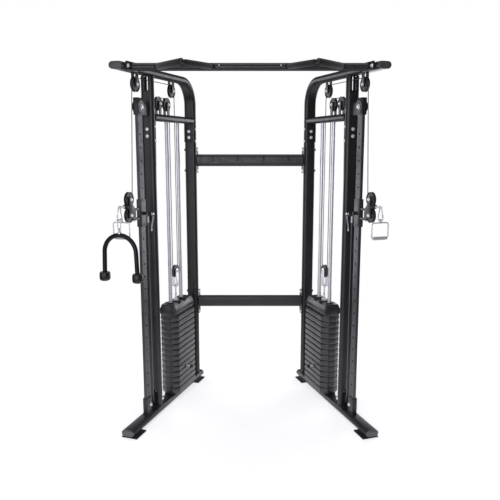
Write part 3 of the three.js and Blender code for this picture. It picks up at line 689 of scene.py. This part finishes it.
def pull_pin(side, place):
    piece = Piece(side + "_pull_pin_knob", place)
    at = (GUIDE_X, 0, CARRIAGE_Z)
    piece.add(lathe([(0, 9.3), (3, 9.6), (3.6, 10.4), (3.6, 46), (0, 46)], at, sides=20), ZINC)
    knob = [(0, 44), (8.5, 44), (10.2, 46), (10.5, 49), (9.6, 52), (9.6, 58), (10.5, 61), (10.3, 64)]
    knob += [(8.4, 66), (0, 66)]
    piece.add(lathe(knob, at, sides=36), NYLON)
    cap = [(0, 65), (6.5, 65), (6.5, 67), (5.4, 68), (5.2, 72), (6.4, 74), (6.2, 78.6), (5, 80), (0, 80)]
    piece.add(lathe(cap, at, sides=28), CHROME)
    ring = [(GUIDE_X + a, 75.4, CARRIAGE_Z - 11 + b) for a, b in arc(0, 0, 10.5, 0, 345, 23)]
    wire_loop(piece, ring, 1.1, 8)
    links = ((75.4, -24), (73, -35), (70.5, -46), (68, -57), (66, -68), (64.6, -79))
    flat = arc(0, 3.4, 3, 0, 180, 7) + arc(0, -3.4, 3, 180, 360, 7)
    for i, (y, z) in enumerate(links):  # the lanyard, every other link turned a quarter
        turned = i % 2
        across = (0, 1, 0) if turned else (1, 0, 0)
        path = [
            (GUIDE_X + (a if turned else 0), y + (0 if turned else a), CARRIAGE_Z + z + b)
            for a, b in flat
        ]
        wire_loop(piece, path, 0.95, 8, across)
    drop = [(0, 0), (2.4, 0.6), (4, 4), (4, 12), (2.6, 16), (1.6, 19), (0, 19.4)]
    piece.add(lathe(drop, (GUIDE_X, 63.8, CARRIAGE_Z - 102), (0, 0, 1), 20), CHROME)
    piece.ride(side + "_pull_pin", "nylon", side + "_pull_pin")


def pulley_block(side, place):
    piece = Piece(side + "_pulley_block_cheeks", place)
    outline = [
        (211, 1250), (211, 1262), (203, 1263), (203, 1301), (211, 1302), (211, 1318),
        (235, 1345), (235, 1388), (265, 1388), (265, 1352), (270, 1300), (270, 1266), (240, 1264),
    ]
    for y0, y1 in ((CHEEK_IN, CHEEK_OUT), (-CHEEK_OUT, -CHEEK_IN)):
        piece.add(prism(rounded(outline, 9), y0, y1, "y"), BRACKET_PAINT, 0.8)
    piece.add(box(203, 208.5, -CHEEK_OUT, CHEEK_OUT, 1261.5, 1302.5), BRACKET_PAINT, 0.8)
    knuckle = [(5.3, 1261.3), (8.5, 1261.3), (8.5, 1302.7), (5.3, 1302.7)]
    piece.add(lathe(knuckle, (SWIVEL_X, 0, 0), (0, 0, 1), 28, ring=True), BRACKET_PAINT)
    for x, z in (WHEELS["carriage_pulley_upper"][:2], LOWER_AXLE):
        axle(piece, x, z)
        for way in (1, -1):
            hex_bolt(piece, (x, way * CHEEK_OUT, z), (0, way, 0), radius=8, washer=10)
    piece.ride(side + "_pulley_block", "frame_paint", side + "_pulley_block")


def pulley(side, name, place, spot):
    piece = Piece(f"{side}_{name}_wheel", place)
    rim = [(10.2, -8.6), (15, -9), (16.5, -8.4), (18, -6.2), (32, -5.4), (34.5, -7), (37, -8.3)]
    rim += [(40.6, -8.3), (PULLEY_RADIUS, -7.6)]
    groove = [(a, 0.72 * b) for a, b in arc(PULLEY_RADIUS + 0.4, 0, 9.8, 235, 125, 8)]
    profile = rim + groove + [(a, -b) for a, b in reversed(rim)]
    piece.add(lathe(profile, (spot[0], 0, spot[1]), sides=56, ring=True), NYLON)
    half = [(5.4, -8.7), (6.6, -9), (9, -8.2), (10.4, -8.2)]
    bearing = half + [(a, -b) for a, b in reversed(half)]
    piece.add(lathe(bearing, (spot[0], 0, spot[1]), sides=36, ring=True), ZINC)
    for k in range(5):
        turn = math.radians(72 * k + 18)
        x, z = spot[0] + 25 * math.cos(turn), spot[1] + 25 * math.sin(turn)
        for way in (1, -1):
            boss = [(0, 4), (4.5, 4), (4.5, 6), (3.6, 6.9), (2.6, 6.9), (2.2, 6.2), (0, 6.2)]
            piece.add(lathe(boss, (x, 0, z), (0, way, 0), 16), NYLON)
    piece.ride(f"{side}_{name}", "nylon", f"{side}_{name}")


def stack_bores(low, high, stem, rods):
    """The holes for the stem and the two guide rods, with the radii given."""
    return [
        rod((STACK_X + a, 0, low), (STACK_X + a, 0, high), radius, 32)
        for a, radius in ((0, stem), (ROD_OFFSET, rods), (-ROD_OFFSET, rods))
    ]


def stack_plate():
    """The highest plate of the stack, with its rod bores and pin hole."""
    hx, hy = (STACK_FRONT - STACK_REAR) / 2, PLATE_HALF_WIDE
    middle = (STACK_FRONT + STACK_REAR) / 2
    half = [(-hx, hy - 9), (9 - hx, hy), (hx - 29, hy), (hx, hy - 41)]
    plan = rounded(half + [(a, -b) for a, b in reversed(half)], 6, 4)
    low, high = STACK_TOP - PLATE_PITCH + 0.6, STACK_TOP
    rings = []
    edge = ((8, low), (7, low + 4), (1.4, low + 9), (0, low + 12))
    edge += ((0, high - 5), (0.8, high - 2), (3.5, high))
    for inset, z in edge:  # undercut most along the inner side
        slight = 0.3 * inset
        rings.append([
            (middle + a * (1 - slight / hx), b * (1 - (inset if b > 0 else slight) / hy), z)
            for a, b in plan
        ])
    bores = stack_bores(low - 5, high + 5, STEM_RADIUS + 2, ROD_RADIUS + 1.2)
    z = STACK_TOP - HOLE_DROP
    return carved(loft(rings), *bores, rod((STACK_X, 20, z), (STACK_X, 90, z), 5.6, 20))


def weight_stack(side, place):
    plate = stack_plate()
    for name, numbers, rider in (
        ("lifted_plates", range(LIFTED), side + "_stack"),
        ("resting_plates", range(LIFTED, PLATES), "frame"),
    ):
        piece = Piece(f"{side}_{name}_cast", place)
        for number in numbers:
            piece.add(lifted(plate, -number * PLATE_PITCH), PLATE_PAINT)
        piece.ride(rider, "plate_paint", f"{side}_{name}")
    head = Piece(side + "_stack_head_cast", place)
    half = [(48, 0.4), (48, 12), (61, 19), (61, 38), (41, HEAD_HIGH)]
    outline = half + [(-y, z) for y, z in reversed(half)]
    x0, x1 = STACK_REAR + 2, STACK_FRONT - 2
    rings = []
    for x, shrink in ((x0, 0.94), (x0 + 4, 1), (x1 - 4, 1), (x1, 0.94)):
        rise = [z if z < 40 else 40 + (z - 40) * shrink for _, z in outline]
        rings.append([(x, y * shrink, STACK_TOP + z) for (y, _), z in zip(outline, rise)])
    bores = stack_bores(500, 700, STEM_RADIUS + GAP, ROD_RADIUS + 1)
    crown = STACK_TOP + HEAD_HIGH
    relief = [
        prism(rounded(rectangle(x - 15, x + 15, -70, 70), 6), crown - 10, crown + 15)
        for x in (STACK_X + 39, STACK_X - 39)
    ]
    head.add(carved(loft(rings), *bores, *relief), PLATE_PAINT, 1.2, 1, 0.5)
    for way in (1, -1):
        x = STACK_X + way * ROD_OFFSET
        bush = [(12.8, -4), (18, -4), (18, 3), (16.8, 5), (12.8, 5)]
        head.add(lathe(bush, (x, 0, crown), (0, 0, 1), 36, ring=True), NYLON)
    head.ride(side + "_stack", "plate_paint", side + "_stack_head")


def selector(side, place):
    stem = Piece(side + "_selector_stem_drilled", place)
    holes = []
    for number in range(PLATES):
        z = STACK_TOP - number * PLATE_PITCH - HOLE_DROP
        holes.append(rod((STACK_X, -30, z), (STACK_X, 30, z), 5, 16))
    shank = rod((STACK_X, 0, STACK_BOTTOM + 4), (STACK_X, 0, 664), STEM_RADIUS, 28)
    stem.add(carved(shank, *holes), ZINC)
    nut = [(0, 657), (17, 657), (17, 668), (15, 670.5), (0, 670.5)]
    stem.add(lathe(nut, (STACK_X, 0, 0), (0, 0, 1), 6), ZINC)
    stem.add(rod((STACK_X, 0, 663), (STACK_X, 0, 760), 6), ZINC)
    for z in (696, 744):
        lock = [(0, 0), (10, 0), (10, 7.5), (8.6, 8.6), (0, 8.6)]
        stem.add(lathe(lock, (STACK_X, 0, z), (0, 0, 1), 6), ZINC)
    yoke = box(STACK_X - 17, STACK_X + 17, -CHEEK_OUT, CHEEK_OUT, 754, 760)
    stem.add(yoke, ZINC, 1)
    pulley_bracket(stem, "floating_pulley", 755, 872, 17, ZINC, 12)
    stem.ride(side + "_stack", "steel", side + "_selector_stem")

    pin = Piece(side + "_selector_pin_knob", place)
    at = (STACK_X, 0, STACK_TOP - (LIFTED - 1) * PLATE_PITCH - HOLE_DROP)
    pin.add(lathe([(0, -9), (3, -9), (4, -7), (4, 98), (0, 98)], at, sides=20), ZINC)
    face = PLATE_HALF_WIDE + 0.3
    collar = [(0, face), (8.5, face), (8.5, face + 3.6), (7, face + 5), (0, face + 5)]
    pin.add(lathe(collar, at, sides=28), NYLON)
    knob = [(0, 96), (7, 96), (9, 99), (11, 102), (11.3, 106), (11, 113), (9.4, 117), (0, 118)]
    pin.add(lathe(knob, at, sides=36), NYLON)
    pin.ride(side + "_selector_pin", "nylon", side + "_selector_pin")


def cable_stations():
    """For each wheel: its arc as points, from where the cable meets it to where it leaves."""
    start, finish = (*ANCHOR, 1), (STOP_X - STOP_RADIUS - GAP, STOP_Z, 1)
    stops = [(*start, 0)] + [(*w, PULLEY_PITCH) for w in WHEELS.values()] + [(*finish, 0)]
    headings = []
    for (x0, z0, turn0, r0), (x1, z1, turn1, r1) in zip(stops, stops[1:]):
        reach = (turn0 * r0 - turn1 * r1) / math.hypot(x1 - x0, z1 - z0)
        headings.append(math.atan2(z1 - z0, x1 - x0) + math.asin(reach))
    arcs = {}
    for i, (name, (x, z, turn)) in enumerate(WHEELS.items()):
        bend = headings[i + 1] - headings[i]
        while bend * turn < 0:
            bend += turn * 2 * math.pi
        steps = max(4, round(abs(bend) / math.radians(7)))
        turns = [headings[i] + bend * k / steps for k in range(steps + 1)]
        far = turn * PULLEY_PITCH
        arcs[name] = [(x + far * math.sin(t), 0, z - far * math.cos(t)) for t in turns]
    return arcs, (finish[0], 0, finish[1])


def cable(side, place):
    """Arcs that ride with their pulleys, and straight runs between the bodies, fixed where they are
    drawn.
    """
    arcs, stop = cable_stations()
    start = (ANCHOR[0], 0, ANCHOR[1] - GAP)
    carriage_body, block, stack = side + "_carriage", side + "_pulley_block", side + "_stack"

    def run(name, path):
        return Piece(f"{side}_cable_{name}", place).add(sweep(circle(CABLE_RADIUS, 12), path), CABLE)

    fixed_low = arcs["base_pulley"] + arcs["brace_pulley_front"] + arcs["brace_pulley_rear"]
    run("over_brace", fixed_low).ride("frame", "cable_skin", side + "_cable")
    fixed_high = arcs["top_rear_pulley"] + arcs["top_front_pulley"]
    run("over_arch", fixed_high).ride("frame", "cable_skin")
    run("round_floating_pulley", arcs["floating_pulley"]).ride(stack, "cable_skin")
    run("round_carriage_pulley", arcs["carriage_pulley_upper"]).ride(block, "cable_skin")

    def stretched(name, one, other, a, b, steps=1):
        path = [Vector(a).lerp(Vector(b), k / steps) for k in range(steps + 1)]
        run(name, path).blend(one, other, a, b, "cable_skin")

    stretched("anchor_run", "frame", carriage_body, arcs["base_pulley"][0], start)
    floating = arcs["floating_pulley"]
    stretched("stack_run_front", "frame", stack, arcs["brace_pulley_rear"][-1], floating[0])
    stretched("stack_run_rear", "frame", stack, arcs["top_rear_pulley"][0], floating[-1])
    leave, meet = Vector(arcs["top_front_pulley"][-1]), Vector(arcs["carriage_pulley_upper"][0])
    joint = meet + (leave - meet).normalized() * TWIST_LENGTH
    stretched("carriage_run", "frame", carriage_body, leave, joint)
    stretched("swivel_run", carriage_body, block, joint, meet, 24)
    stretched("handle_run", block, side + "_cable_stop", arcs["carriage_pulley_upper"][-1], stop)


def cable_stop(side, place):
    piece = Piece(side + "_cable_stop_ball", place)
    piece.add(ball((STOP_X, 0, STOP_Z), STOP_RADIUS), RUBBER)
    sleeve = [(0, 9), (6.5, 9), (6.5, 17), (5, 19), (5, 44), (4, 45.4), (0, 45.4)]
    piece.add(lathe(sleeve, (STOP_X, 0, STOP_Z), (1, 0, 0), 24), CHROME)
    ring = [(HOOK_X - 9 + a, 0, STOP_Z + b) for a, b in circle(9, 28)]
    wire_loop(piece, ring, 2.5)
    piece.ride(side + "_cable_stop", "stop_rubber", side + "_cable_stop")


def carabiner(side, place):
    piece = Piece(side + "_carabiner_wire", place)
    path = arc(0, 1332, 9, 10, 170, 14)
    path += arc(-18.5, CLIP_BOTTOM + 7, 7, 190, 270, 8) + arc(18.5, CLIP_BOTTOM + 7, 7, 270, 350, 8)
    wire_loop(piece, [(HOOK_X + x, 0, z) for x, z in path], 3, 14)
    low, high = Vector((HOOK_X + 24.6, 0, 1277)), Vector((HOOK_X + 10.6, 0, 1325))
    gate = [low.lerp(high, t) for t in (0.1, 0.42, 0.46)]
    piece.add(rod(gate[0], gate[1], 4.4, 24, 1), CHROME)
    piece.add(rod(low.lerp(high, 0.8), low.lerp(high, 0.93), 4.1, 24, 1), CHROME)
    piece.ride(side + "_carabiner", "chrome", side + "_carabiner")


def ring_on_clip(piece, x, top, radius):
    path = [(x, a, top - radius + b) for a, b in circle(radius, 28)]
    wire_loop(piece, path, 3, 12, (1, 0, 0))


def stirrup(side, place, x):
    piece = Piece(side + "_stirrup_handle_wire", place)
    half, top, bottom, corner = 50, 1252.5, 1168, 12
    path = []
    for y, z, start in (
        (half - corner, top - corner, 0), (corner - half, top - corner, 90),
        (corner - half, bottom + corner, 180), (half - corner, bottom + corner, 270),
    ):
        path += arc(y, z, corner, start, start + 90, 8)
    wire_loop(piece, [(x, y, z) for y, z in path], 3.5, 14, (1, 0, 0))
    grip = [(0, -47), (3.6, -47), (4.6, -46), (9.4, -39), (9.7, -37), (9.7, 37), (9.4, 39)]
    grip += [(4.6, 46), (3.6, 47), (0, 47)]
    piece.add(lathe(grip, (x, 0, bottom), sides=32), GRIP)
    ring_on_clip(piece, x, CLIP_BOTTOM + 6.9, 8)
    piece.ride(side + "_stirrup_handle", "chrome", side + "_stirrup_handle")


def bent_handle(side, place):
    x, low = HOOK_X + 7, 1216
    link = Piece(side + "_link_wire", place)
    path = arc(0, CLIP_BOTTOM + 6.9 - 9, 9, 0, 180, 12) + arc(0, low + 9, 9, 180, 360, 12)
    wire_loop(link, [(x, y, z) for y, z in path], 3, 14, (1, 0, 0))
    link.ride(side + "_link", "chrome", side + "_link")

    piece = Piece(side + "_bent_handle_tube", place)
    spread, crown = 98, 1186
    path = [(spread + 4.5, 952)] + arc(0, crown - spread, spread, 0, 180, 32) + [(-spread - 4.5, 952)]
    tube = [(x, y, z) for y, z in path]
    piece.add(sweep(circle(12.5, 28), tube, across=(1, 0, 0)), SATIN)
    for y in (spread + 4.5, -spread - 4.5):
        knob = [(0, 925), (12, 925.6), (22, 928.5), (28, 934), (30, 942), (30.4, 958), (29.4, 970)]
        knob += [(27.4, 975.5), (24.5, 978), (15, 978), (12.4, 976), (0, 976)]
        piece.add(lathe(knob, (x, y, 0), (0, 0, 1), 44), NYLON)
    boss = [(0, 1190), (11, 1194), (11, 1203), (9, 1206), (0, 1206)]
    piece.add(lathe(boss, (x, 0, 0), (0, 0, 1), 28), CHROME)
    centre = low + 6.9 - 8
    wire_loop(piece, [(x + a, 0, centre + b) for a, b in circle(8, 28)], 3)
    piece.ride(side + "_bent_handle", "handle_black", side + "_bent_handle")


def build_side(side, place):
    for make in (
        base_rail, front_upright, rear_arch, mid_brace, guide_tube, guide_rods, carriage,
        pull_pin, pulley_block, weight_stack, selector,
    ):
        make(side, place)
    for name, wheel in WHEELS.items():
        pulley(side, name, place, wheel[:2])
    pulley(side, "carriage_pulley_lower", place, LOWER_AXLE)
    for make in (cable, cable_stop, carabiner):
        make(side, place)
    stirrup(side, place, HOOK_X - 16 if side == "left" else HOOK_X)
    if side == "left":
        bent_handle(side, place)


# ---- pieces between the two frames ----
FLANGE_IN = WIDE / 2 + GAP
FLANGE_OUT = FLANGE_IN + FLANGE_THICK


def reach_at(y, offset=WIDE / 2 + 4):
    """How far from the middle plane a side frame's inner face is, at that y."""
    return FRONT_UPRIGHT_X - offset / math.cos(SPLAY) - y * math.tan(SPLAY)


def between_frames(outline, y, z):
    """An outline in y and z, stretched from one side frame's inner face to the other's."""
    return loft([
        [(way * reach_at(y + b), y + b, z + a) for a, b in outline] for way in (-1, 1)
    ])


def side_flange(piece, outline, place):
    """A plate on a side frame's inner face. Returns what takes the side's axes to the machine's."""
    to_machine = MACHINE.inverted() @ place
    points, faces = prism(outline, FLANGE_IN, FLANGE_OUT, "y")
    piece.add(([to_machine @ Vector(p) for p in points], faces), POWDER, 1.2)
    return to_machine


def cross_tube(name, height, hooks):
    piece = Piece(name + "_tube", MACHINE)
    y = SPACING * math.cos(SPLAY)
    piece.add(between_frames(oval(WIDE, THIN), y, height), POWDER)
    plate = rounded(rectangle(-SPACING - 22, -SPACING + 22, height - 86, height + 86), 7)
    for place in (LEFT, RIGHT):
        side_flange(piece, plate, place)
    face = y - THIN / 2
    for x in hooks:
        hook = [
            (face + 1, 32), (face - 4, 32), (face - 4, 1), (face - 20, 1), (face - 20, 17),
            (face - 24, 17), (face - 24, -5), (face + 1, -5),
        ]
        outline = rounded([(a, height + b) for a, b in hook], 1.8, 4)
        piece.add(prism(outline, x - 7, x + 7, "x"), NYLON, 0.8)
        dome_bolt(piece, (x, face - 4, height + 24), (0, -1, 0), BLACK_STEEL, 4)
    piece.ride("frame", "frame_paint", name)


def pull_up_bar():
    """The bar, and the two V-shaped grips in front of it."""
    piece = Piece("pull_up_bar_steelwork", MACHINE)
    y, z = BAR_Y, ARCH_TOP - THIN / 2
    piece.add(between_frames(circle(BAR_RADIUS, 40), y, z), POWDER)
    plate = rounded(rectangle(183, 307, z - 24, z + 24), 8)
    for place in (LEFT, RIGHT):
        to_machine = side_flange(piece, plate, place)
        for x in (200, 290):
            spot = to_machine @ Vector((x, FLANGE_OUT, z))
            axis = to_machine.to_3x3() @ Vector((0, 1, 0))
            hex_bolt(piece, spot, axis, radius=8, washer=10.5)
    foams = []
    for way, side in ((-1, "left"), (1, "right")):
        foam = Piece(side + "_grip_foam", MACHINE)
        apex = Vector((way * 346, y - 200, z))
        for base, thick, reach in ((508, 18.5, 1.02), (187, 16, 0.9)):
            root = Vector((way * base, y, z))
            piece.add(rod(root, apex, 13, 28), POWDER)
            start, end = root.lerp(apex, 0.13), root.lerp(apex, reach)
            length = (end - start).length
            profile = [(13.1, 0.6), (14.5, 0), (thick - 1, 0.6), (thick, 2.4)]
            profile += [(thick, length - 2.4), (thick - 1, length - 0.6)]
            profile += [(14.5, length), (13.1, length - 0.6)]
            foam.add(lathe(profile, start, end - start, 36, ring=True), FOAM)
            along = (apex - root).normalized()
            collar = [(0, 18), (16.5, 18), (16.5, 25), (15.5, 27), (0, 27)]
            piece.add(lathe(collar, root, along, 32), POWDER)
            screw = root + Vector((way * -22, -20.4, 6))
            dome_bolt(piece, screw, (0, -1, 0.3), ZINC, 3.6)
        piece.add(ball(apex, 14.5, axis=(0, 0, 1)), POWDER)
        foams.append(foam)
    piece.ride("frame", "frame_paint", "pull_up_bar")
    for foam in foams:
        foam.ride("frame", "stop_rubber")


build_side("left", LEFT)
build_side("right", RIGHT)
cross_tube("upper_cross_tube", UPPER_TUBE_Z, (-253, -88, 88, 253))
cross_tube("lower_cross_tube", LOWER_TUBE_Z, ())
pull_up_bar()


# ---- studio ----
FLOOR_GLOW, AMBIENT = 0.6, 0.1


def studio_floor():
    """A pale floor that fades into the white surroundings away from the machine."""
    look = Look("studio_floor", (0.6, 0.7), specular=0.2)
    look.colours((0.86, 0.86, 0.87), (0.9, 0.9, 0.91), 2)
    look.shader.inputs["Emission Color"].default_value = (1, 1, 1, 1)
    look.shader.inputs["Emission Strength"].default_value = FLOOR_GLOW
    nodes, links = look.nodes, look.links
    distance = nodes.new("ShaderNodeVectorMath")
    distance.operation = "LENGTH"
    links.new(look.coordinates, distance.inputs[0])
    fade = nodes.new("ShaderNodeMapRange")
    fade.interpolation_type = "SMOOTHSTEP"
    fade.inputs["From Min"].default_value, fade.inputs["From Max"].default_value = 1.1, 2.6
    links.new(distance.outputs["Value"], fade.inputs["Value"])
    clear, mix = nodes.new("ShaderNodeBsdfTransparent"), nodes.new("ShaderNodeMixShader")
    links.new(fade.outputs["Result"], mix.inputs["Fac"])
    links.new(look.shader.outputs["BSDF"], mix.inputs[1])
    links.new(clear.outputs["BSDF"], mix.inputs[2])
    links.new(mix.outputs["Shader"], nodes["Material Output"].inputs["Surface"])
    mesh = bpy.data.meshes.new("studio_floor")
    mesh.from_pydata([(-4, -4, 0), (4, -4, 0), (4, 4, 0), (-4, 4, 0)], [], [(0, 1, 2, 3)])
    mesh.materials.append(look.material)
    linked("studio_floor", mesh)


def studio_world():
    """White where the camera sees it, and a dim grey where it lights the machine."""
    world = bpy.data.worlds.new("studio_world")
    bpy.context.scene.world = world
    world.use_nodes = True
    nodes, links = world.node_tree.nodes, world.node_tree.links
    seen, lighting = nodes["Background"], nodes.new("ShaderNodeBackground")
    seen.inputs["Color"].default_value = (1, 1, 1, 1)
    seen.inputs["Strength"].default_value = 1.0
    lighting.inputs["Color"].default_value = (0.96, 0.98, 1, 1)
    lighting.inputs["Strength"].default_value = AMBIENT
    mix = nodes.new("ShaderNodeMixShader")
    path = nodes.new("ShaderNodeLightPath")
    links.new(path.outputs["Is Camera Ray"], mix.inputs["Fac"])
    links.new(lighting.outputs["Background"], mix.inputs[1])
    links.new(seen.outputs["Background"], mix.inputs[2])
    links.new(mix.outputs["Shader"], nodes["World Output"].inputs["Surface"])


def softbox(name, location, target, size, radiance):
    """A panel of the given size and radiance, facing the target, that the camera can't see."""
    data = bpy.data.lights.new(name, "AREA")
    data.shape, data.size, data.size_y = "RECTANGLE", size[0], size[1]
    data.energy = radiance * math.pi * size[0] * size[1]
    data.color = (0.95, 0.94, 1)
    light = linked(name, data)
    light.location = location
    light.rotation_euler = (Vector(target) - Vector(location)).to_track_quat("-Z", "Y").to_euler()
    light.visible_camera = False


studio_floor()
studio_world()
softbox("front_left_wall", (-1.75, -4.1, 1.6), (0, 0, 1.2), (5.4, 3.2), 1.65)
softbox("front_strip", (-0.25, -3.95, 1.7), (0, 0, 1.3), (0.8, 2.2), 2.6)
softbox("back_right_panel", (2.3, 2.5, 1.25), (0, 0, 1.1), (2.5, 2.5), 2.8)
softbox("back_left_panel", (-2.3, 2.5, 1.25), (0, 0, 1.1), (2.2, 2.5), 2.4)
softbox("top_box", (0, -0.4, 4.6), (0, 0, 0), (3.0, 3.0), 1.6)

camera_data = bpy.data.cameras.new("camera")
camera_data.sensor_width = 36
camera_data.lens = 42.48
camera = linked("camera", camera_data)
camera.location = (0.037, -3.605, 1.663)
camera.rotation_euler = (math.radians(80.01), 0, 0)
bpy.context.scene.camera = camera
bpy.context.scene.view_settings.view_transform = "Standard"
